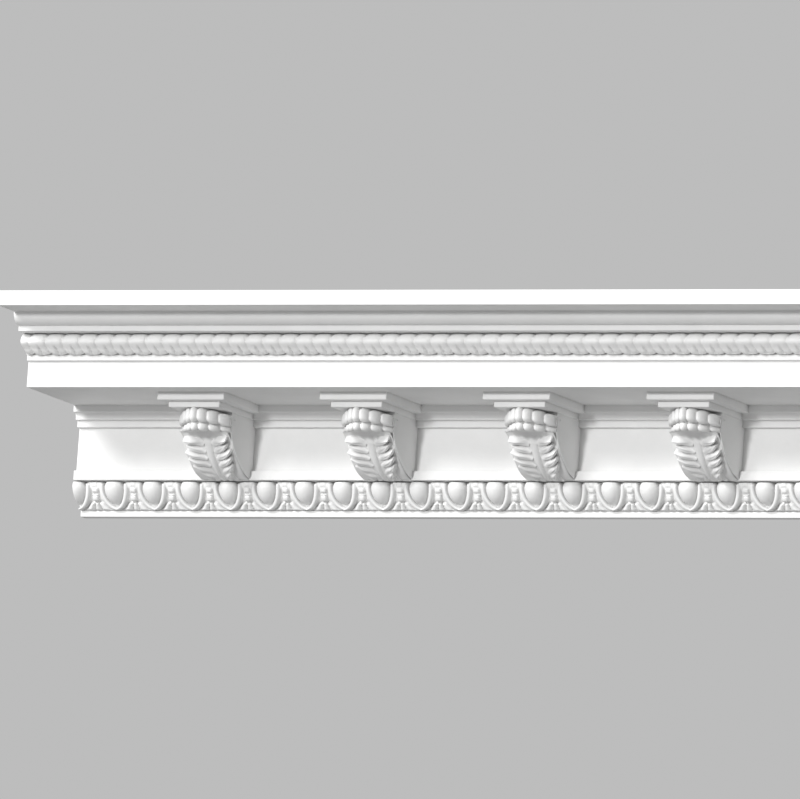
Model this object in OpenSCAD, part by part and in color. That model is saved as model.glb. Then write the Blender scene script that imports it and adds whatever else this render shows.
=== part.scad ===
// Length of modillion cornice, cast in one piece and cut square at both ends.
// X runs along the length, -Y is the front and +Z is up.
// The origin is the centre of the flat wall face at the back.

/* [Overall] */
// Height from the bottom fillet to the ceiling face
height = 175; // [150:1:215]
// Projection from the wall to the front of the top fascia
projection = 208; // [180:1:250]
// Number of modillions along the length
modillion_count = 5; // [1:1:7]
// Spacing of the modillions, centre to centre
modillion_pitch = 163; // [130:1:220]
// Length from the centre of an end modillion to the cut end
end_margin = 153.4; // [60:0.1:200]

/* [Back] */
// Height of the flat face that seats on the wall
wall_seat = 72; // [40:1:90]
// Width of the flat face that seats on the ceiling
ceiling_seat = 112; // [60:1:115]

/* [Cymatium] */
// Height of the top fascia
fascia_h = 13.7; // [8:0.1:20]
// Setback from the top fascia to the face of the ovolo
ovolo_set = 33; // [20:1:45]
// Height of the ovolo
ovolo_h = 11.2; // [8:0.1:14]
// Depth that the ovolo curves back
ovolo_d = 12; // [6:0.5:14]
// Height of the fillet under the ovolo
upper_fillet_h = 5; // [3:0.5:8]
// Radius of the roped roll over its beads
bead_r = 9.3; // [7:0.1:10]
// Radius of the roped roll in the creases
bead_crease_r = 7.6; // [6:0.1:9]
// Target spacing of the beads, rounded to suit the length
bead_pitch = 16.72; // [12:0.01:24]
// Setback from the upper fillet to the axis of the roped roll
bead_set = 14.6; // [10:0.1:20]
// Height of the fillet under the roped roll
lower_fillet_h = 5.2; // [3:0.1:8]

/* [Corona] */
// Height of the corona
corona_h = 23.8; // [18:0.1:35]
// Setback from the top fascia to the corona
corona_set = 70; // [62:1:80]

/* [Bed mouldings and frieze] */
// Number of small steps between the soffit and the frieze
bed_steps = 3; // [1:1:4]
// Height of each step
bed_step_h = 6.3; // [4:0.1:8]
// Depth of each step
bed_step_d = 5; // [3:0.5:7]
// Distance that the frieze stands off the wall
frieze_proud = 25; // [18:1:34]
// Height of the plain band under the frieze
band_h = 8.7; // [5:0.1:12]
// Distance that the band stands in front of the frieze
band_d = 5; // [2:0.5:8]

/* [Egg and dart] */
// Height of the egg and dart course
egg_course_h = 24.7; // [22:0.1:30]
// Spacing of the eggs, centre to centre
egg_pitch = 38.35; // [34:0.05:46]
// Half width of an egg
egg_r = 10; // [8:0.1:11]
// Half height of an egg
egg_half_h = 12.6; // [10:0.1:14]
// Width of the raised rim round an egg
rim_w = 3.6; // [2:0.1:4.4]
// Height that a rim stands out of its hollow
rim_rise = 6; // [4:0.1:8]
// Gap between an egg and the middle of its rim
rim_gap = 2.8; // [2.4:0.1:4]
// Width of a dart at its barbs
dart_w = 6; // [3:0.1:7]
// Height of the fillet at the foot
foot_h = 5.9; // [4:0.1:9]
// Distance that the foot fillet stands off the wall
foot_proud = 10; // [6:1:14]

/* [Modillion] */
// Width of the upper slab of the cap
cap_w = 67; // [56:1:80]
// Thickness of the upper slab
cap_t = 7.3; // [5:0.1:10]
// Distance from the corona's edge back to the cap
cap_set = 24.7; // [12:0.1:34]
// Distance that the lower slab is set in all round
cap_step = 8; // [4:0.5:10]
// Thickness of the lower slab
neck_t = 5.5; // [4:0.1:8]
// Width of the bracket under the cap
bracket_w = 49; // [40:1:56]
// Distance from the lower slab's edge back to the bracket
bracket_set = 17; // [12:1:22]

/* [Acanthus leaf] */
// Number of fingers in the rolled tip
finger_count = 5; // [3:2:7]
// Radius of a finger of the rolled tip
finger_r = 6.2; // [4.5:0.1:7]
// Radius of the drooping end of a finger
droop_r = 4.4; // [3:0.1:5.5]
// Distance that the rolled tip bows forward at its middle
tip_bow = 14; // [6:1:18]
// Number of lobes down each side
lobe_pairs = 3; // [2:1:4]
// Height that the leaf's blade stands out of the bracket
blade_rise = 4; // [2:0.1:6]
// Width of the midrib at its head
midrib_w = 9; // [5:0.5:12]
// Height that the midrib stands out of the bracket
midrib_rise = 6; // [4:0.1:8]

/* [Hidden] */
$fn = 32;
overlap = 3;       // how far one shape runs into the next
curve_points = 5;  // steps along each curve of an outline

length = (modillion_count - 1) * modillion_pitch + 2 * end_margin;
top_z = height - wall_seat / 2;
foot_z = -wall_seat / 2;

// Levels, from the top down
ovolo_z = top_z - fascia_h;
upper_fillet_z = ovolo_z - ovolo_h;
bead_top_z = upper_fillet_z - upper_fillet_h;
bead_z = bead_top_z - bead_r;
lower_fillet_z = bead_z - bead_r + 0.4;
corona_z = lower_fillet_z - lower_fillet_h;
soffit_z = corona_z - corona_h;
frieze_z = soffit_z - bed_steps * bed_step_h;
foot_fillet_z = foot_z + foot_h;
band_z = foot_fillet_z + egg_course_h;

// Fronts, measured from the wall
ovolo_y = -(projection - ovolo_set);
upper_fillet_y = ovolo_y + ovolo_d;
bead_y = upper_fillet_y + bead_set;
lower_fillet_y = bead_y + 1;
corona_y = -(projection - corona_set);
frieze_y = -frieze_proud;
soffit_back_y = frieze_y - bed_steps * bed_step_d;
band_y = frieze_y - band_d;
foot_y = -foot_proud;
egg_top_y = frieze_y + 2;
egg_foot_y = foot_y - 2;
egg_mid_y = (egg_top_y + egg_foot_y) / 2 + 2.6;
egg_mid_z = (band_z + foot_fillet_z) / 2 + 0.3;
course_lean = 0.7 * atan((egg_foot_y - egg_top_y) / egg_course_h);
rim_back = 2;      // the back of a rim, behind an egg's axis

// Where the modillion's parts lie
cap_y = corona_y + cap_set;
neck_z = soffit_z - cap_t;
neck_y = cap_y + cap_step;
bracket_z = neck_z - neck_t;
bracket_y = neck_y + bracket_set;
bracket_foot_z = band_z + 1;
bracket_depth = frieze_y - bracket_y;
bracket_drop = bracket_z - bracket_foot_z;

function arc(cy, cz, ry, rz, from, to) =
    [for (i = [0:curve_points])
        let (a = from + (to - from) * i / curve_points)
        [cy + ry * cos(a), cz + rz * sin(a)]];

// A point on a cubic curve through a and d, with handles b and c
function cubic(a, b, c, d, t) =
    a * pow(1 - t, 3) + b * 3 * t * pow(1 - t, 2) + c * 3 * t * t * (1 - t) + d * pow(t, 3);

// A point on the bracket's face, from its share of the depth and of the drop
function on_bracket(depth, drop) =
    [bracket_y + depth * bracket_depth, bracket_z - drop * bracket_drop];

// The bracket's face: t runs from 0 under the cap to 1 at the foot
function bracket_face(t) =
    t < 0.5
    ? cubic(on_bracket(0, 0), on_bracket(0.01, 0.25), on_bracket(0.2, 0.38),
            on_bracket(0.36, 0.54), 2 * t)
    : cubic(on_bracket(0.36, 0.54), on_bracket(0.5, 0.7), on_bracket(0.66, 0.97),
            on_bracket(1, 1), 2 * t - 1);

// Draws a section in Y and Z, and runs it along X about the middle
module along_x(w) {
    rotate([90, 0, 90])
        linear_extrude(height = w, center = true)
            children();
}

// The plain run, with its sprung back
module run() {
    stepped = [for (i = [0:bed_steps - 1])
        let (y = soffit_back_y + i * bed_step_d, z = soffit_z - i * bed_step_h)
        each [[y, z], [y, z - bed_step_h]]];
    along_x(length)
        polygon(concat(
            [[-projection + ceiling_seat, top_z], [-projection, top_z],
             [-projection, ovolo_z], [ovolo_y, ovolo_z]],
            arc(upper_fillet_y, ovolo_z, -ovolo_d, -ovolo_h, 0, 85),
            [[upper_fillet_y, upper_fillet_z], [upper_fillet_y, bead_top_z],
             [bead_y, bead_top_z], [bead_y, lower_fillet_z],
             [lower_fillet_y, lower_fillet_z], [lower_fillet_y, corona_z],
             [corona_y, corona_z], [corona_y, soffit_z]],
            stepped,
            [[frieze_y, frieze_z], [frieze_y, band_z + band_h],
             [band_y, band_z + band_h], [band_y, band_z], [egg_top_y, band_z]],
            arc(egg_foot_y, band_z, egg_top_y - egg_foot_y, foot_fillet_z - band_z, 0, 90),
            [[foot_y, foot_fillet_z], [foot_y, foot_z], [0, foot_z], [0, foot_z + wall_seat]]
        ));
}

// The roped roll, turned as one row of beads
module roped_roll() {
    count = round(length / bead_pitch);
    pitch = length / count;
    sag = bead_r - bead_crease_r;
    swell = (pitch * pitch / 4 + sag * sag) / (2 * sag);
    translate([-length / 2, bead_y, bead_z])
        rotate([90, 0, 90])
            rotate_extrude()
                intersection() {
                    square([bead_r + 1, length]);
                    union() {
                        square([bead_crease_r, length]);
                        for (i = [0:count - 1])
                            translate([bead_r - swell, (i + 0.5) * pitch])
                                intersection() {
                                    circle(r = swell, $fn = 96);
                                    translate([0, -pitch / 2])
                                        square([swell, pitch]);
                                }
                    }
                }
}

// A strip in the form of a U, its round end down, in X and Y
module u_strip(r, w, arm) {
    function bend(rr, from, to) =
        [for (i = [0:curve_points])
            let (t = from + (to - from) * i / curve_points) [rr * cos(t), rr * sin(t)]];
    polygon(concat(
        [[-r - w / 2, arm]], bend(r + w / 2, 180, 360), [[r + w / 2, arm], [r - w / 2, arm]],
        bend(r - w / 2, 360, 180), [[-r + w / 2, arm]]
    ));
}

// One egg, the rim round it and the dart on its right
module egg_and_dart() {
    rim = egg_r + rim_gap;
    rotate([course_lean, 0, 0]) {
        rotate_extrude()
            polygon([for (a = [-90:30:90]) [egg_r * cos(a), egg_half_h * sin(a)]]);
        translate([0, rim_back, rim + rim_w / 2 - egg_half_h + 0.5])
            rotate([90, 0, 0])
                linear_extrude(height = rim_rise)
                    u_strip(rim, rim_w, egg_half_h);
        translate([egg_pitch / 2, rim_back, 0])
            rotate([90, 0, 0])
                linear_extrude(height = rim_rise)
                    polygon([[0, -egg_half_h], [dart_w / 2, -egg_half_h / 3],
                             [dart_w / 4, 0], [dart_w / 4, egg_half_h],
                             [-dart_w / 4, egg_half_h], [-dart_w / 4, 0],
                             [-dart_w / 2, -egg_half_h / 3]]);
    }
}

// The course of eggs and darts, with a dart at the middle of the length
module egg_course() {
    half = ceil(length / egg_pitch / 2 - 0.5);
    for (i = [-half:half - 1]) {
        x = (i + 0.5) * egg_pitch;
        if (abs(x) + egg_pitch < length / 2)
            translate([x, egg_mid_y, egg_mid_z])
                egg_and_dart();
        else
            intersection() {
                translate([x, egg_mid_y, egg_mid_z])
                    egg_and_dart();
                translate([-length / 2, -projection, foot_z])
                    cube([length, projection, height]);
            }
    }
}

// The lobed outline of the leaf's lower part, its stalk at the origin and its head up
module leaf_outline(w, h) {
    steps = 4 * lobe_pairs;
    function half_w(t) =
        w / 2 * (0.34 + 0.66 * sin(90 * min(1, 1.25 * t))) * (0.8 + 0.2 * sin(360 * lobe_pairs * t - 60));
    polygon(concat(
        [for (i = [0:steps]) [half_w(i / steps), h * i / steps]],
        [for (i = [steps:-1:0]) [-half_w(i / steps), h * i / steps]]
    ));
}

// The acanthus leaf: the fingers of the rolled tip, the lobed blade and the midrib
module leaf() {
    reach = bracket_w / 2 - finger_r + 1;
    tip_z = bracket_z - 2 * finger_r;
    fingers = [for (i = [0:finger_count - 1])
        let (across = 2 * i / (finger_count - 1) - 1)
        [across * reach, bracket_y + 2 - tip_bow * (1 - across * across)]];
    translate([0, 0, tip_z])
        linear_extrude(height = 2 * finger_r + 1) {
            polygon(concat(fingers, [[reach, bracket_y + 12], [-reach, bracket_y + 12]]));
            for (f = fingers)
                translate(f)
                    circle(r = finger_r);
        }
    for (f = fingers)
        translate([f[0], f[1] + 2, tip_z - 1])
            sphere(r = droop_r);
    top = bracket_face(0.3);
    foot = bracket_face(0.86);
    slope = atan2(top[1] - foot[1], foot[0] - top[0]);
    fall = norm(top - foot);
    translate([0, foot[0], foot[1]])
        rotate([180 - slope, 0, 0])
            translate([0, 0, -overlap]) {
                linear_extrude(height = overlap + blade_rise)
                    leaf_outline(bracket_w + 2, fall);
                linear_extrude(height = overlap + midrib_rise)
                    polygon([[-midrib_w / 4, 0], [midrib_w / 4, 0],
                             [midrib_w / 2, fall], [-midrib_w / 2, fall]]);
            }
}

// A modillion: a cap of two slabs, the bracket and its leaf
module modillion() {
    translate([-cap_w / 2, cap_y, neck_z])
        cube([cap_w, soffit_back_y - cap_y + overlap, cap_t + overlap]);
    translate([cap_step - cap_w / 2, neck_y, bracket_z])
        cube([cap_w - 2 * cap_step, soffit_back_y - neck_y + overlap + bed_step_d, neck_t + overlap]);
    along_x(bracket_w)
        polygon(concat(
            [[frieze_y + overlap, bracket_z + overlap], [bracket_y, bracket_z + overlap]],
            [for (i = [0:2 * curve_points]) bracket_face(i / curve_points / 2)],
            [[frieze_y + overlap, bracket_foot_z]]
        ));
    leaf();
}

module cornice() {
    color("whitesmoke")
        union() {
            run();
            roped_roll();
            egg_course();
            for (i = [0:modillion_count - 1])
                translate([(i - (modillion_count - 1) / 2) * modillion_pitch, 0, 0])
                    modillion();
        }
}

cornice();
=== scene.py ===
"""Looks for a length of modillion cornice, cast in one piece and primed white.

Everything is worked out in millimetres in the frame's axes (X along, -Y front, +Z up)
and turned into metres when a mesh is made.
"""

import math

import bmesh
import bpy
import numpy as np
from mathutils import Matrix, Vector


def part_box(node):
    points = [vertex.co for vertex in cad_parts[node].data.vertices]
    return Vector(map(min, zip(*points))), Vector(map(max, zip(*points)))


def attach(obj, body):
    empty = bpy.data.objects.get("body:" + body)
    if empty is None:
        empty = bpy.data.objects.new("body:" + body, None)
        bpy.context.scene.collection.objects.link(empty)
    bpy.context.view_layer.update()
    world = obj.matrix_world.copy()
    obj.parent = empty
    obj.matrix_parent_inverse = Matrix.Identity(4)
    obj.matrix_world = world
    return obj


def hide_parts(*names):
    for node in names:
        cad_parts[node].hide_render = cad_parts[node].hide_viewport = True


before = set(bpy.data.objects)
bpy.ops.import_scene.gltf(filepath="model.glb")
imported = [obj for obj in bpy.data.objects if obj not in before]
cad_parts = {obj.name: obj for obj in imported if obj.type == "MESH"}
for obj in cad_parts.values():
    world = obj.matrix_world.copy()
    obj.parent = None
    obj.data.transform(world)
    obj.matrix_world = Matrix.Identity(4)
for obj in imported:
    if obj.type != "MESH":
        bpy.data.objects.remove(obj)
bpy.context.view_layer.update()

MM = 0.001
NODE = "cornice"

# Sizes taken from the frame
low, high = [[c / MM for c in corner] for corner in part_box(NODE)]
LENGTH = high[0] - low[0]
FRONT = low[1]
TOP = high[2]
FOOT = low[2]
WALL_SEAT = -2 * FOOT
CEILING_SEAT = 112.0

# The run's members, from the top down: _H is a height, _D a depth, _Y a front and _Z a top
FASCIA_H = 13.7
OVOLO_H = 11.2
OVOLO_D = 12.0
OVOLO_STEPS = 14
OVOLO_TURN = 86
UPPER_FILLET_H = 5.0
BEAD_R = 9.3
BEAD_BED = 14.6
LOWER_FILLET_H = 5.2
CORONA_H = 23.8
BED_STEP_H = 6.3
BED_STEP_D = 5.0
COVE_INSET = 2.0
COVE_LIP = 0.8
COVE_SHY = 1.0
COVE_ARC = (88, 2)
COVE_STEPS = 8
BAND_H = 8.7
COURSE_H = 24.7
FOOT_H = 5.9

OVOLO_Y = FRONT + 33
UPPER_FILLET_Y = OVOLO_Y + OVOLO_D
BEAD_Y = UPPER_FILLET_Y + BEAD_BED
GROOVE_Y = BEAD_Y + 8
LOWER_FILLET_Y = BEAD_Y + 7
CORONA_Y = FRONT + 70
FRIEZE_Y = -25.0
SOFFIT_BACK_Y = FRIEZE_Y - 3 * BED_STEP_D
BAND_Y = FRIEZE_Y - 5
FOOT_Y = -10.0
COURSE_TOP_Y = FRIEZE_Y + 2
COURSE_FOOT_Y = FOOT_Y - 2

OVOLO_Z = TOP - FASCIA_H
UPPER_FILLET_Z = OVOLO_Z - OVOLO_H
BEAD_TOP_Z = UPPER_FILLET_Z - UPPER_FILLET_H
BEAD_Z = BEAD_TOP_Z - BEAD_R
LOWER_FILLET_Z = BEAD_Z - BEAD_R + 0.4
CORONA_Z = LOWER_FILLET_Z - LOWER_FILLET_H
SOFFIT_Z = CORONA_Z - CORONA_H
COURSE_Z = FOOT + FOOT_H
BAND_Z = COURSE_Z + COURSE_H

# Finer relief stops this far short of the cut ends, so that no two faces lie together
END_INSET = 0.12


# ---------------------------------------------------------------- mesh helpers

def make_object(name, points, faces, smooth_angle=35):
    """A mesh object from points in millimetres, shaded smooth up to smooth_angle degrees."""
    mesh = bpy.data.meshes.new(name)
    mesh.from_pydata([tuple(p) for p in np.asarray(points) * MM], [], faces)
    mesh.validate()
    return place_mesh(name, mesh, smooth_angle)


def place_mesh(name, mesh, smooth_angle):
    """Puts a mesh in the scene, shaded smooth up to smooth_angle degrees."""
    piece = bpy.data.objects.new(name, mesh)
    bpy.context.scene.collection.objects.link(piece)
    mesh.shade_smooth()
    mesh.set_sharp_from_angle(angle=math.radians(smooth_angle))
    return piece


def grid_faces(rows, cols, flip=False, wrap=False):
    """Quads over a grid of rows by cols points; wrap joins the last column to the first."""
    faces = []
    last = cols if wrap else cols - 1
    for r in range(rows - 1):
        for c in range(last):
            a = r * cols + c
            b = r * cols + (c + 1) % cols
            quad = (a, b, b + cols, a + cols)
            faces.append(quad[::-1] if flip else quad)
    return faces


def arc(cy, cz, ry, rz, start, end, steps):
    """Points on an ellipse from start to end degrees."""
    turn = np.radians(np.linspace(start, end, steps + 1))
    return [(cy + ry * math.cos(a), cz + rz * math.sin(a)) for a in turn]


def soften(outline, radius=0.7, steps=3, straight=155):
    """Rounds each sharp corner of a closed outline, as primer rounds a casting's arrises.

    A corner that opens wider than straight degrees is left as it is.
    """
    outline = [p for i, p in enumerate(outline) if math.dist(p, outline[i - 1]) > 1e-6]
    out = []
    count = len(outline)
    for i, here in enumerate(outline):
        p = np.array(here)
        back = np.array(outline[i - 1]) - p
        ahead = np.array(outline[(i + 1) % count]) - p
        len_b, len_a = np.linalg.norm(back), np.linalg.norm(ahead)
        turn = math.degrees(math.acos(np.clip(np.dot(back, ahead) / (len_b * len_a), -1, 1)))
        if turn > straight:
            out.append(tuple(p))
            continue
        reach = min(radius, 0.45 * len_b, 0.45 * len_a)
        a, b = p + back / len_b * reach, p + ahead / len_a * reach
        for t in np.linspace(0, 1, steps + 1):
            out.append(tuple((1 - t) ** 2 * a + 2 * t * (1 - t) * p + t * t * b))
    return out


def extrude_x(name, outline, x0, x1):
    """Runs a closed outline in Y and Z along X, with flat ends, and turns its faces outwards."""
    n = len(outline)
    points = [(x, y, z) for x in (x0, x1) for y, z in outline]
    faces = [(i, (i + 1) % n, n + (i + 1) % n, n + i) for i in range(n)]
    faces += [tuple(range(n))[::-1], tuple(range(n, 2 * n))]
    return fix_normals(make_object(name, points, faces))


def fix_normals(piece):
    """Turns every face of a closed mesh outwards."""
    work = bmesh.new()
    work.from_mesh(piece.data)
    bmesh.ops.recalc_face_normals(work, faces=work.faces)
    work.to_mesh(piece.data)
    work.free()
    return piece


def smoothstep(edge0, edge1, x):
    t = np.clip((x - edge0) / (edge1 - edge0), 0, 1)
    return t * t * (3 - 2 * t)


def dip(x, middle, width):
    """A bell of height one about middle."""
    return np.exp(-((x - middle) / width) ** 2)


def smooth_path(knots, samples):
    """A Catmull-Rom curve through the knots, spaced evenly along its length."""
    k = np.array(knots, float)
    k = np.vstack([2 * k[0] - k[1], k, 2 * k[-1] - k[-2]])
    fine = []
    for i in range(1, len(k) - 2):
        a, b, c, d = k[i - 1], k[i], k[i + 1], k[i + 2]
        for t in np.linspace(0, 1, 24, endpoint=False):
            fine.append(0.5 * (2 * b + (c - a) * t + (2 * a - 5 * b + 4 * c - d) * t ** 2
                               + (3 * b - a - 3 * c + d) * t ** 3))
    fine = np.array(fine + [k[-2]])
    step = np.r_[0, np.cumsum(np.linalg.norm(np.diff(fine, axis=0), axis=1))]
    even = np.linspace(0, step[-1], samples)
    return np.stack([np.interp(even, step, fine[:, i]) for i in range(2)], axis=1), even


# ---------------------------------------------------------------- the run

def build_run():
    """The plain members and the sprung back, as one section drawn along the length."""
    bed_1, bed_2, bed_3 = (SOFFIT_BACK_Y + i * BED_STEP_D for i in range(3))
    z_1, z_2, z_3 = (SOFFIT_Z - (i + 1) * BED_STEP_H for i in range(3))
    outline = [(FRONT + CEILING_SEAT, TOP), (FRONT, TOP), (FRONT, OVOLO_Z), (OVOLO_Y, OVOLO_Z)]
    outline += arc(UPPER_FILLET_Y, OVOLO_Z, -OVOLO_D, -OVOLO_H, 0, OVOLO_TURN, OVOLO_STEPS)
    outline += [(UPPER_FILLET_Y, UPPER_FILLET_Z), (UPPER_FILLET_Y, BEAD_TOP_Z)]
    outline += [(BEAD_Y, BEAD_TOP_Z), (BEAD_Y, BEAD_Z), (GROOVE_Y, BEAD_Z),
                (GROOVE_Y, LOWER_FILLET_Z), (LOWER_FILLET_Y, LOWER_FILLET_Z)]
    outline += [(LOWER_FILLET_Y, CORONA_Z), (CORONA_Y, CORONA_Z), (CORONA_Y, SOFFIT_Z)]
    outline += [(bed_1, SOFFIT_Z), (bed_1, z_1), (bed_1 + COVE_INSET, z_1)]
    outline += arc(bed_1 + COVE_INSET, z_2 + COVE_LIP, bed_2 - bed_1 - COVE_SHY,
                   z_1 - z_2 - COVE_LIP, *COVE_ARC, COVE_STEPS)
    outline += [(bed_2 + COVE_SHY, z_2), (bed_3, z_2), (bed_3, z_3), (FRIEZE_Y, z_3)]
    outline += [(FRIEZE_Y, BAND_Z + BAND_H), (BAND_Y, BAND_Z + BAND_H), (BAND_Y, BAND_Z)]
    # Behind the egg course the run stands back, clear of its pockets
    outline += [(COURSE_TOP_Y + 7, BAND_Z), (COURSE_FOOT_Y + 6, COURSE_Z)]
    outline += [(FOOT_Y, COURSE_Z), (FOOT_Y, FOOT), (0, FOOT), (0, FOOT + WALL_SEAT)]
    return extrude_x("profile_run", soften(outline), -LENGTH / 2, LENGTH / 2)


# ---------------------------------------------------------------- the roped roll

STRANDS = round(LENGTH / 16.72)
STEPS_A_STRAND = 18
STEPS_AROUND = 44
CREASE_R = 6.4
STRAND_POWER = 3.0
# How far a strand slants, as a share of its width
LAY = 0.10
# The second crease under each strand: across, half width, how much wider it grows, depth
SPLIT_AT, SPLIT_HALF, SPLIT_GROWS, SPLIT_DEPTH = 0.1, 0.10, 0.12, 2.4
# How far the roll's under half stands back
TUCK = 5.4
# Where these start and stop, in radians round the roll from its top, over its front and down
SPLIT_WIDENS = (1.8, 2.5)
SPLIT_FROM, SPLIT_TO = (1.7, 2.2), (3.4, 2.8)
TUCK_FROM, TUCK_TO = (1.45, 2.25), (3.8, 3.0)


def build_rope():
    """The roll of slanted, plump strands under the ovolo."""
    xs = np.linspace(-LENGTH / 2 + END_INSET, LENGTH / 2 - END_INSET, STRANDS * STEPS_A_STRAND + 1)
    angles = np.linspace(0, 2 * math.pi, STEPS_AROUND, endpoint=False)
    x, a = np.meshgrid(xs, angles, indexing="ij")
    # The half puts the cut ends through the middle of a strand
    phase = (x + LENGTH / 2) / LENGTH * STRANDS + 0.5 + LAY * np.sin(a)
    across = 2 * (phase - np.floor(phase)) - 1
    plump = np.sqrt(np.clip(1 - np.abs(across) ** STRAND_POWER, 0, 1))
    radius = CREASE_R + (BEAD_R - CREASE_R) * plump
    split = np.abs(across - SPLIT_AT) / (SPLIT_HALF + SPLIT_GROWS * smoothstep(*SPLIT_WIDENS, a))
    under = smoothstep(*SPLIT_FROM, a) * smoothstep(*SPLIT_TO, a)
    radius -= SPLIT_DEPTH * under * np.clip(1 - split, 0, 1)
    y = BEAD_Y - radius * np.sin(a) + TUCK * smoothstep(*TUCK_FROM, a) * smoothstep(*TUCK_TO, a)
    z = BEAD_Z + radius * np.cos(a)
    points = np.stack([x, y, z], axis=-1).reshape(-1, 3)
    faces = grid_faces(len(xs), STEPS_AROUND, wrap=True)
    first = tuple(range(STEPS_AROUND))
    last = tuple(range((len(xs) - 1) * STEPS_AROUND, len(xs) * STEPS_AROUND))
    return fix_normals(make_object("roped_roll", points, faces + [first, last[::-1]], 60))


# ---------------------------------------------------------------- egg and dart

# Heights in the course are measured down from its top, and each rise forwards from its bed
EGG_PITCH = 38.35
COURSE_STEP = 0.68
COURSE_ROWS = 44
COURSE_BACK_Y = -5.0
BED_SHY = 1.0
LIP_TOP, LIP_FOOT = 1.2, 1.0
# The bed leans back down the course, and relief stands out square to it, in degrees
TILT_TOP, TILT_MORE = 8, 34
TILT_DROP = 0.35

# The egg is widest at EGG_MID, and is half an ellipse above it and a longer half below
EGG_HALF = 9.4
EGG_RISE = 10.2
EGG_MID = 6.5
EGG_UP = 9.0
EGG_DOWN = 13.4

# The rim runs straight to RIM_BEND and is swept in to meet RIM_FALL below it
RIM_X = 12.4
RIM_HALF = 2.25
RIM_RISE = 5.0
RIM_BEND = 4.0
RIM_FALL = 19.6
RIM_SWEEP = 2.4
RIM_CLOSE = 0.62
RIM_SLOPE = 1.6
RIM_STARTS = (0.6, 3.2)

# The bed is sunk beside the tops of the eggs and at the foot, and raised beside the shafts
POCKET = 4.0
POCKET_ENDS = (5.0, 2.0)
SHOULDER = 3.0
SHOULDER_ENDS = (10.5, 4.5)
BED_RISE = 0.2
FOOT_SINK = 1.8
FOOT_SINKS = (15, 19)
# Relief lower than this is bed
BED_LEVEL = 0.05

# The dart: a shaft with two cuts (down, half height, depth), a button and a fan of rays
DART_HALF = 3.1
SHAFT_RISE = 4.2
SHAFT_FOOT = 12.6
SHAFT_CUTS = ((5.4, 0.6, 0.7), (10.6, 0.75, 0.8))
BUTTON_RISE = 4.8
BUTTON_MID = 14.7
BUTTON_HALF = 2.7
FAN_ROOT = 12.5
FAN_STARTS = (17.6, 19.6)
FAN_EDGE = (0.86, 0.72)
RAY_RISE = 4.2
RAY_SINK = 0.6
RAY_COUNT = 5.6
RAY_POWER = 0.8


def egg_relief(u, w):
    """Relief of one repeat: u is across from the egg's middle, w is down from the course's top."""
    lift = np.where(w < EGG_MID, (w - EGG_MID) / EGG_UP, (w - EGG_MID) / EGG_DOWN)
    egg_half = EGG_HALF * np.clip(1 - lift ** 2, 0.002, 1) ** 0.5
    round_down = np.sqrt(np.clip(1 - lift ** 2, 0, 1))
    round_across = np.sqrt(np.clip(1 - (u / egg_half) ** 2, 0, 1))
    egg_h = EGG_RISE * round_down * round_across

    fall = np.clip(w - RIM_BEND, 0, None)
    rim_x = RIM_X * np.clip(1 - (fall / RIM_FALL) ** RIM_SWEEP, 0, 1) ** RIM_CLOSE
    slope = RIM_SLOPE * RIM_X * fall / RIM_FALL ** 2
    off = (np.abs(u) - rim_x) / np.sqrt(1 + slope ** 2)
    rim_h = RIM_RISE * np.sqrt(np.clip(1 - np.abs(off / RIM_HALF) ** 3, 0, 1)) * smoothstep(*RIM_STARTS, w)

    inside = off < 0
    bed_inside = -POCKET * smoothstep(*POCKET_ENDS, w)
    bed_outside = BED_RISE + SHOULDER * smoothstep(*SHOULDER_ENDS, w) - FOOT_SINK * smoothstep(*FOOT_SINKS, w)
    bed = np.where(inside, bed_inside, bed_outside)

    # The dart stands midway between two eggs
    d = np.abs(EGG_PITCH / 2 - np.abs(u))
    cuts = 1
    for middle, width, depth in SHAFT_CUTS:
        cuts = cuts - depth * dip(w, middle, width)
    shaft_side = np.clip(1 - (d / DART_HALF) ** 6, 0, 1) ** 0.5
    shaft_h = np.where(w < SHAFT_FOOT, SHAFT_RISE * shaft_side * np.clip(cuts, 0, 1), 0)
    button_side = 1 - (d / DART_HALF) ** 4 - ((w - BUTTON_MID) / BUTTON_HALF) ** 4
    button_h = BUTTON_RISE * np.sqrt(np.clip(button_side, 0, 1))
    bearing = np.arctan2(d, np.maximum(w - FAN_ROOT, 0.01))
    rays = np.abs(np.cos(bearing * RAY_COUNT)) ** RAY_POWER
    fan_h = smoothstep(*FAN_STARTS, w) * (RAY_RISE * rays - RAY_SINK) * smoothstep(*FAN_EDGE, bearing)
    dart_h = np.maximum(np.maximum(shaft_h, button_h), fan_h)

    raised = np.maximum.reduce([egg_h, rim_h, np.where(inside, 0, dart_h)])
    return np.where(raised > BED_LEVEL, np.maximum(raised, bed), bed)


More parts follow.
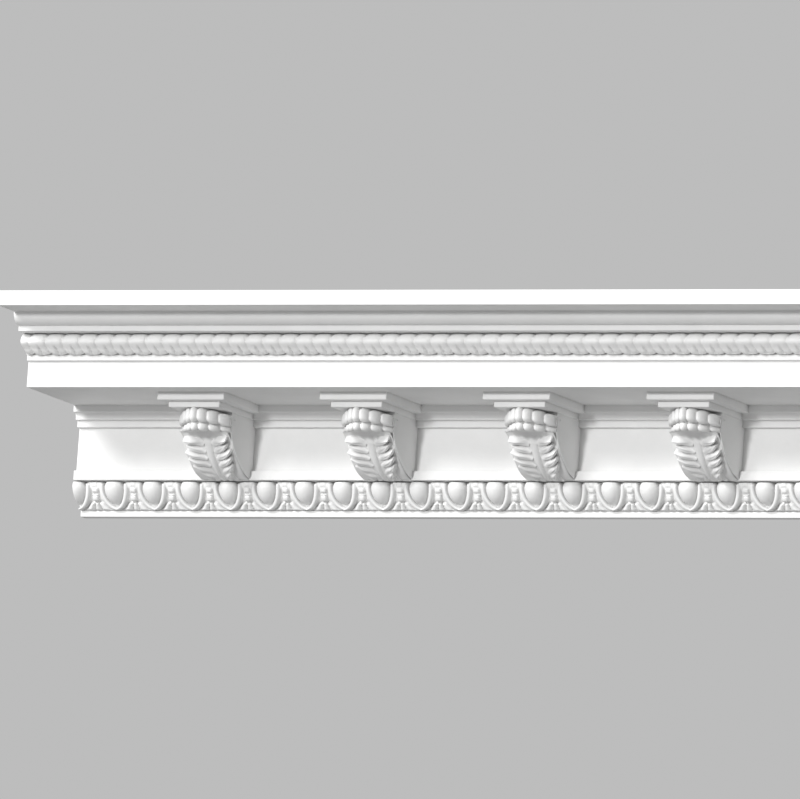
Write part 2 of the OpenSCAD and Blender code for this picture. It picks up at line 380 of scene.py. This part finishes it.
def build_egg_course():
    """The egg and dart course: relief raised from a curved bed between the band and the foot."""
    cols = int(LENGTH / COURSE_STEP)
    rows = COURSE_ROWS
    xs = np.linspace(-LENGTH / 2 + END_INSET, LENGTH / 2 - END_INSET, cols)
    downs = np.linspace(0, COURSE_H, rows)
    x, w = np.meshgrid(xs, downs, indexing="xy")
    u = (x / EGG_PITCH - np.floor(x / EGG_PITCH) - 0.5) * EGG_PITCH
    relief = egg_relief(u, w)
    lip = smoothstep(0, LIP_TOP, w) * smoothstep(COURSE_H, COURSE_H - LIP_FOOT, w)
    relief = np.where(relief > 0, relief * lip, relief)
    share = w / COURSE_H
    bed_y = COURSE_TOP_Y + (COURSE_FOOT_Y - COURSE_TOP_Y) * (1 - np.cos(share * math.pi / 2))
    bed_y = bed_y + BED_SHY
    tilt = np.radians(TILT_TOP + TILT_MORE * share)
    y = bed_y - relief * np.cos(tilt)
    z = BAND_Z - w - relief * np.sin(tilt) * TILT_DROP
    front = np.stack([x, y, z], axis=-1).reshape(-1, 3)
    faces = grid_faces(rows, cols)
    # The ends and the hidden back close the mesh
    top = [(xs[0], COURSE_BACK_Y, BAND_Z), (xs[-1], COURSE_BACK_Y, BAND_Z)]
    foot = [(xs[0], COURSE_BACK_Y, COURSE_Z), (xs[-1], COURSE_BACK_Y, COURSE_Z)]
    n = len(front)
    points = np.vstack([front, top, foot])
    left = [r * cols for r in range(rows)]
    right = [r * cols + cols - 1 for r in range(rows)]
    faces.append(tuple([n] + left + [n + 2]))
    faces.append(tuple([n + 3] + right[::-1] + [n + 1]))
    faces.append(tuple([n + 1] + list(range(cols))[::-1] + [n]))
    faces.append(tuple([n + 2] + list(range((rows - 1) * cols, rows * cols)) + [n + 3]))
    faces.append((n, n + 2, n + 3, n + 1))
    return fix_normals(make_object("egg_and_dart", points, faces, 50))


# ---------------------------------------------------------------- the modillion

MODILLIONS = 5
MODILLION_PITCH = 163.0
CAP_W = 67.0
CAP_T = 7.3
CAP_Y = CORONA_Y + 24.7
CAP_ROUND = 0.8
NECK_T = 5.5
NECK_W = CAP_W - 16
NECK_Y = CAP_Y + 8
NECK_Z = SOFFIT_Z - CAP_T
BRACKET_W = 49.0
BRACKET_Z = NECK_Z - NECK_T
BRACKET_Y = NECK_Y + 17
BRACKET_FOOT_Z = BAND_Z + 1
BRACKET_STEPS = 40
BRACKET_DROP = BRACKET_Z - BRACKET_FOOT_Z
BRACKET_DEEP = FRIEZE_Y - BRACKET_Y

# The bracket's front, as shares of its depth and its drop
BRACKET_SHARES = ((0.21, -0.02), (0.21, 0.18), (0.215, 0.34), (0.27, 0.47),
                  (0.36, 0.61), (0.52, 0.78), (0.72, 0.93), (0.93, 1.0))
# The leaf's middle line: back and up from the neck over the rolled tip, then shares down the blade
ROLL_KNOTS = ((17.5, 0.9), (6.0, 0.2), (-1.2, -2.0), (-2.0, -6.5), (-1.5, -10.2), (1.8, -12.9),
              (1.4, -15.5), (3.2, -19.4), (9.0, -20.8), (18.0, -19.4), (26.0, -19.8))
BLADE_SHARES = ((0.265, 0.475), (0.355, 0.615), (0.515, 0.79), (0.715, 0.94), (0.90, 1.01))

# The leaf's tip, measured down its middle line from under the cap
FINGER_W = 7.2
FINGER_RISE = 3.0
FINGER_SINK = 1.2
TIER_1 = 24.0
TIER_2 = 37.0
TIP_CREASE = 32.5
CREASE_HALF = 0.9
CREASE_DEPTH = 2.2
UNDER_TIP = 41.0
ROLL_SWEEP = 29.0
ROLL_ARCH = 1.55
LEAF_HALF = 23.6
LEAF_FLARE = 2.0
LEAF_ROWS, LEAF_COLS = 270, 124
# Where the sheet should not show it lies this far behind the bracket's front
HIDDEN = -1.2
# How far the flanks hang below the middle, at places down the middle line
SAG_PLACES = (0, 8, TIP_CREASE, UNDER_TIP, UNDER_TIP + 12)
SAGS = (6.5, 6.5, 0.5, -3.0, 0.0)

# The blade, measured up from its foot
BLADE_TOP = (62, 59)
WEB_HALF, WEB_SPREAD, WEB_TOP, WEB_RISE = 5.5, 0.12, 50, -0.2
RIB_HALF, RIB_SPREAD, RIB_RISE, RIB_TOP = 1.3, 0.05, 1.7, (54, 48)
# Lobes: root across and up, tip across and up, half width, rise
LOBES = ((4.0, 47.0, 21.6, 56.5, 4.4, 6.0), (4.5, 38.5, 20.2, 48.4, 3.5, 5.0),
         (5.0, 31.0, 22.3, 42.4, 3.6, 5.8), (5.0, 22.0, 21.3, 35.4, 3.8, 5.4),
         (4.5, 11.0, 19.6, 27.0, 4.0, 4.4), (3.0, 1.0, 14.5, 17.0, 3.7, 3.4))
LOBE_RAISE = 1.2
LOBE_CURVE = 0.10
VEIN_DEPTH, VEIN_HALF = 0.7, 0.6
# Low flutes at the very foot
FLUTE_TOP, FLUTE_SPAN, FLUTE_RISE, FLUTE_W = (16, 6), 15, 1.6, 6.4
# Each edge of the sheet is turned in under it, inside the bracket: across, back and up
EDGE_TUCK = np.array([[-1.6, 0.8, 0], [-4.0, 1.6, 0]])


def slab(name, width, y0, y1, z0, z1):
    """A slab of the cap, with eased arrises, running back into the bed."""
    work = bmesh.new()
    bmesh.ops.create_cube(work, size=1)
    for v in work.verts:
        v.co = Vector((v.co.x * width, (y0 + y1) / 2 + v.co.y * (y1 - y0),
                       (z0 + z1) / 2 + v.co.z * (z1 - z0))) * MM
    bmesh.ops.bevel(work, geom=work.edges[:], offset=CAP_ROUND * MM, segments=3, affect="EDGES", profile=0.5)
    mesh = bpy.data.meshes.new(name)
    work.to_mesh(mesh)
    work.free()
    return place_mesh(name, mesh, 40)


def on_bracket(shares):
    """Points in Y and Z at shares of the bracket's depth and drop."""
    return [(BRACKET_Y + BRACKET_DEEP * a, BRACKET_Z - BRACKET_DROP * b) for a, b in shares]


def lobe_rise(spine, foot, lobe):
    """Relief of one upswept lobe, with a vein down its middle."""
    root_x, root_f, tip_x, tip_f, half, rise = lobe
    long = math.hypot(tip_x - root_x, tip_f - root_f)
    ax, af = (tip_x - root_x) / long, (tip_f - root_f) / long
    along = (spine - root_x) * ax + (foot - root_f) * af
    side = -(spine - root_x) * af + (foot - root_f) * ax
    side = side + LOBE_CURVE * along * (1 - along / long)
    t = np.clip(along / long, 0, 1)
    width = half * np.sqrt(np.clip(np.sin(math.pi * (0.16 + 0.84 * t)), 0.001, 1))
    body = np.clip(1 - (side / width) ** 2, 0, 1) * (along > 0) * (along < long)
    vein = VEIN_DEPTH * dip(side, 0, VEIN_HALF) * smoothstep(0.1, 0.4, t) * smoothstep(0.95, 0.7, t)
    swell = body ** 0.42 * (0.30 + 0.70 * smoothstep(0, 0.75, t))
    return HIDDEN + (LOBE_RAISE * rise - HIDDEN) * swell - vein * (body > 0.5)


def leaf_relief(x, s, total):
    """Relief of the leaf in millimetres, from x across and s down the middle line."""
    # Rolled tip: plump fingers in two tiers, parted by a crease
    on_tip = smoothstep(UNDER_TIP + 3, UNDER_TIP - 1, s)
    lane = x / FINGER_W
    fingers = np.sqrt(np.clip(1 - (2 * np.abs(lane - np.round(lane))) ** 2, 0, 1))
    plump = 0.8 + 0.2 * dip(s, TIER_1, 5.0) + 0.3 * dip(s, TIER_2, 2.5)
    tip = FINGER_RISE * fingers * plump - FINGER_SINK - CREASE_DEPTH * dip(s, TIP_CREASE, CREASE_HALF)
    # Blade: a low midrib with furrows, and lobes each side of it
    foot = total - s
    spine = np.abs(x)
    web = np.where((spine < WEB_HALF + WEB_SPREAD * foot) & (foot < WEB_TOP), WEB_RISE, HIDDEN)
    rib_side = np.sqrt(np.clip(1 - (x / (RIB_HALF + RIB_SPREAD * foot)) ** 2, 0, 1))
    rib = RIB_RISE * rib_side * smoothstep(*RIB_TOP, foot)
    blade = np.maximum(web, rib)
    for lobe in LOBES:
        blade = np.maximum(blade, lobe_rise(spine, foot, lobe))
    waves = FLUTE_RISE * np.abs(np.cos(x * math.pi / FLUTE_W)) ** 0.7
    flutes = smoothstep(*FLUTE_TOP, foot) * (spine < FLUTE_SPAN) * waves
    blade = np.maximum(blade, flutes + HIDDEN * (flutes < 0.05))
    on_blade = smoothstep(total - BLADE_TOP[0], total - BLADE_TOP[1], s)
    return on_tip * tip + on_blade * blade + (1 - on_tip) * (1 - on_blade) * -0.5


def build_leaf(centre, name):
    """One acanthus leaf, as a sheet that rolls over at its tip and dies into the bracket."""
    knots = [(NECK_Y + a, BRACKET_Z + b) for a, b in ROLL_KNOTS] + on_bracket(BLADE_SHARES)
    path, run = smooth_path(knots, LEAF_ROWS)
    tangent = np.gradient(path, axis=0)
    tangent /= np.linalg.norm(tangent, axis=1)[:, None]
    # Outwards is to the left of the way down the path
    normal = np.stack([tangent[:, 1], -tangent[:, 0]], axis=1)
    s = run[:, None] * np.ones((1, LEAF_COLS))
    t = np.linspace(-1, 1, LEAF_COLS)[None, :] * np.ones((LEAF_ROWS, 1))
    flare = smoothstep(4, 12, s) * smoothstep(TIP_CREASE + 2, TIP_CREASE - 1, s)
    x = t * (LEAF_HALF + LEAF_FLARE * flare)
    relief = leaf_relief(x, s, run[-1])
    # In plan the roll is an arch, whose flanks sweep back round the bracket
    on_roll = smoothstep(UNDER_TIP + 18, UNDER_TIP + 4, s)
    back = ROLL_SWEEP * on_roll * np.abs(t) ** ROLL_ARCH
    sink = np.interp(run, SAG_PLACES, SAGS)[:, None] * t ** 2
    lean = 0.55 * on_roll * np.sign(t) * np.abs(t)
    y = path[:, 0][:, None] + normal[:, 0][:, None] * relief + back
    z = path[:, 1][:, None] + normal[:, 1][:, None] * relief - sink
    x = x + lean * np.clip(relief, -1, 3)
    sheet = np.stack([x, y, z], axis=-1)
    left = np.stack([sheet[:, 0] + k * np.array([-1, 1, 1]) for k in EDGE_TUCK[::-1]], axis=1)
    right = np.stack([sheet[:, -1] + k for k in EDGE_TUCK], axis=1)
    whole = np.concatenate([left, sheet, right], axis=1)
    points = whole.reshape(-1, 3) + np.array([centre, 0, 0])
    return make_object(name, points, grid_faces(LEAF_ROWS, whole.shape[1], flip=True), 60)


def build_bracket(centre, name):
    """The bracket's plain body, with flat sides and a swept underside."""
    face, _ = smooth_path(on_bracket(BRACKET_SHARES) + [(BAND_Y + 1, BRACKET_FOOT_Z)], BRACKET_STEPS)
    into_frieze = FRIEZE_Y + 2
    outline = [(into_frieze, BRACKET_Z + 1)] + [tuple(p) for p in face] + [(into_frieze, BRACKET_FOOT_Z)]
    return extrude_x(name, outline, centre - BRACKET_W / 2, centre + BRACKET_W / 2)


def build_modillion(index):
    """A cap of two slabs, the bracket and its leaf."""
    centre = (index - (MODILLIONS - 1) / 2) * MODILLION_PITCH
    into_bed = SOFFIT_BACK_Y + 3
    upper = slab(f"cap_upper_{index}", CAP_W, CAP_Y, into_bed, NECK_Z, SOFFIT_Z + 1)
    lower = slab(f"cap_lower_{index}", NECK_W, NECK_Y, into_bed + 5, BRACKET_Z, NECK_Z + 1)
    for piece in (upper, lower):
        piece.data.transform(Matrix.Translation((centre * MM, 0, 0)))
    return [upper, lower, build_bracket(centre, f"bracket_{index}"), build_leaf(centre, f"acanthus_{index}")]


# ---------------------------------------------------------------- finish

def primed_white():
    """Sprayed white primer over a foam casting: matt, faintly pebbled and uneven, with painted shade greying
    its deep creases.
    """
    material = bpy.data.materials.new("primed_white")
    material.use_nodes = True
    nodes, links = material.node_tree.nodes, material.node_tree.links
    shader = nodes["Principled BSDF"]
    shader.inputs["Specular IOR Level"].default_value = 0.35
    coords = nodes.new("ShaderNodeTexCoord")

    def noise(scale, detail, rough=0.5):
        texture = nodes.new("ShaderNodeTexNoise")
        texture.inputs["Scale"].default_value = scale
        texture.inputs["Detail"].default_value = detail
        texture.inputs["Roughness"].default_value = rough
        links.new(coords.outputs["Object"], texture.inputs["Vector"])
        return texture

    def ramp(source, start, start_colour, end, end_colour):
        node = nodes.new("ShaderNodeValToRGB")
        node.color_ramp.elements[0].position = start
        node.color_ramp.elements[0].color = (*start_colour, 1)
        node.color_ramp.elements[1].position = end
        node.color_ramp.elements[1].color = (*end_colour, 1)
        links.new(source, node.inputs["Fac"])
        return node

    def bump(texture, strength, distance):
        node = nodes.new("ShaderNodeBump")
        node.inputs["Strength"].default_value = strength
        node.inputs["Distance"].default_value = distance
        links.new(texture.outputs["Fac"], node.inputs["Height"])
        return node

    # Broad, faint unevenness of the spray coat
    tone = ramp(noise(22, 4).outputs["Fac"], 0.35, (0.845, 0.845, 0.84), 0.65, (0.885, 0.885, 0.88))
    # Painted shade: ambient occlusion within 4 mm paints the deep creases a little greyer
    crease = nodes.new("ShaderNodeAmbientOcclusion")
    crease.inputs["Distance"].default_value = 0.004
    crease.samples = 8
    painted_crease_shade = ramp(crease.outputs["AO"], 0.25, (0.80, 0.80, 0.80), 0.85, (1, 1, 1))
    mix = nodes.new("ShaderNodeMix")
    mix.data_type = "RGBA"
    mix.blend_type = "MULTIPLY"
    mix.inputs["Factor"].default_value = 1.0
    links.new(tone.outputs["Color"], mix.inputs["A"])
    links.new(painted_crease_shade.outputs["Color"], mix.inputs["B"])
    # Base colour: the spray coat's uneven tone times the painted crease shade
    links.new(mix.outputs["Result"], shader.inputs["Base Color"])
    sheen = ramp(noise(90, 3).outputs["Fac"], 0.3, (0.52,) * 3, 0.7, (0.64,) * 3)
    links.new(sheen.outputs["Color"], shader.inputs["Roughness"])
    # Fine pebble of the primer over the softer ripple of the mould
    pebble = bump(noise(1400, 2, 0.6), 0.16, 0.0003)
    ripple = bump(noise(130, 3), 0.18, 0.0012)
    links.new(pebble.outputs["Normal"], ripple.inputs["Normal"])
    links.new(ripple.outputs["Normal"], shader.inputs["Normal"])
    return material


def floor_paint():
    """The studio floor's plain pale paint."""
    material = bpy.data.materials.new("studio_floor")
    material.use_nodes = True
    shader = material.node_tree.nodes["Principled BSDF"]
    shader.inputs["Base Color"].default_value = (0.46, 0.46, 0.46, 1)
    shader.inputs["Roughness"].default_value = 0.9
    return material


# ---------------------------------------------------------------- studio

# The view: turned to the right of the front, and looking up
VIEW_TURN = math.radians(26.0)
VIEW_RISE = math.radians(8.5)
LENS = 1500.0
SENSOR = 36.0
FRAMED_W = 720.9
# What the middle of the picture shows: from the left end, behind the front and under the top
AIM_RIGHT, AIM_BACK, AIM_DOWN = 361.2, 100, 83.4
# Greys of the backdrop that the lens sees and of the light that the room gives back
BACKDROP = 0.508
AMBIENT = 0.21
# The floor, in metres: how far under the camera, and how far it reaches
FLOOR_DROP = 0.8
FLOOR_REACH = 300.0
# Suns: name, the way each shines, strength, spread in degrees
SUNS = (("key", (0.36, 1.0, -0.58), 2.5, 22),
        ("front", (0.10, 1.0, -0.105), 1.55, 6),
        ("back_fill", (0.5, -1.0, -0.22), 1.2, 50))


def view_axes():
    """The picture's right, up and forward, rolled so that the cornice runs level."""
    ct, st = math.cos(VIEW_TURN), math.sin(VIEW_TURN)
    ce, se = math.cos(VIEW_RISE), math.sin(VIEW_RISE)
    right = Vector((ct, st, 0))
    forward = Vector((-st * ce, ct * ce, se))
    up = Vector((st * se, -ct * se, ce))
    roll = math.atan(math.tan(VIEW_TURN) * se)
    level = math.cos(roll) * right + math.sin(roll) * up
    plumb = -math.sin(roll) * right + math.cos(roll) * up
    return level, plumb, forward


def add_camera():
    """Looks up at the front from the right, from far off, so that parallels stay parallel."""
    level, plumb, forward = view_axes()
    aim = Vector((-LENGTH / 2 + AIM_RIGHT, FRONT + AIM_BACK, TOP - AIM_DOWN)) * MM
    distance = FRAMED_W * MM * LENS / SENSOR
    data = bpy.data.cameras.new("camera")
    data.lens = LENS
    data.sensor_width = SENSOR
    data.clip_start = 1.0
    data.clip_end = 500.0
    camera = bpy.data.objects.new("camera", data)
    bpy.context.scene.collection.objects.link(camera)
    place = aim - forward * distance
    turn = Matrix((level, plumb, -forward)).transposed().to_4x4()
    camera.matrix_world = Matrix.Translation(place) @ turn
    bpy.context.scene.camera = camera
    return place


def add_sun(name, towards, strength, spread):
    """A soft distant light that shines along the vector towards."""
    data = bpy.data.lights.new(name, "SUN")
    data.energy = strength
    data.angle = math.radians(spread)
    light = bpy.data.objects.new(name, data)
    light.rotation_euler = Vector(towards).to_track_quat("-Z", "Y").to_euler()
    bpy.context.scene.collection.objects.link(light)


def add_surround():
    """An even grey room, with a backdrop that is brighter than the light it gives back."""
    scene = bpy.context.scene
    scene.view_settings.view_transform = "Standard"
    world = bpy.data.worlds.new("surround")
    world.use_nodes = True
    nodes, links = world.node_tree.nodes, world.node_tree.links
    nodes["Background"].inputs["Color"].default_value = (AMBIENT, AMBIENT, AMBIENT, 1)
    backdrop = nodes.new("ShaderNodeBackground")
    backdrop.inputs["Color"].default_value = (BACKDROP, BACKDROP, BACKDROP, 1)
    path = nodes.new("ShaderNodeLightPath")
    choose = nodes.new("ShaderNodeMixShader")
    links.new(path.outputs["Is Camera Ray"], choose.inputs[0])
    links.new(nodes["Background"].outputs[0], choose.inputs[1])
    links.new(backdrop.outputs[0], choose.inputs[2])
    links.new(choose.outputs[0], nodes["World Output"].inputs["Surface"])
    scene.world = world


def add_floor(camera_place):
    """A plain floor just under the camera, well below the cornice."""
    z, reach = camera_place.z - FLOOR_DROP, FLOOR_REACH
    mesh = bpy.data.meshes.new("floor")
    mesh.from_pydata([(-reach, -reach, z), (reach, -reach, z), (reach, reach, z), (-reach, reach, z)],
                     [], [(0, 1, 2, 3)])
    floor = bpy.data.objects.new("floor", mesh)
    bpy.context.scene.collection.objects.link(floor)
    mesh.materials.append(floor_paint())


# ---------------------------------------------------------------- assembly

def main():
    camera_place = add_camera()
    add_surround()
    add_floor(camera_place)
    for sun in SUNS:
        add_sun(*sun)
    pieces = [build_run(), build_rope(), build_egg_course()]
    for index in range(MODILLIONS):
        pieces += build_modillion(index)
    finish = primed_white()
    for piece in pieces:
        piece.data.materials.clear()
        piece.data.materials.append(finish)
        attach(piece, "root")
        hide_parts(NODE)


main()
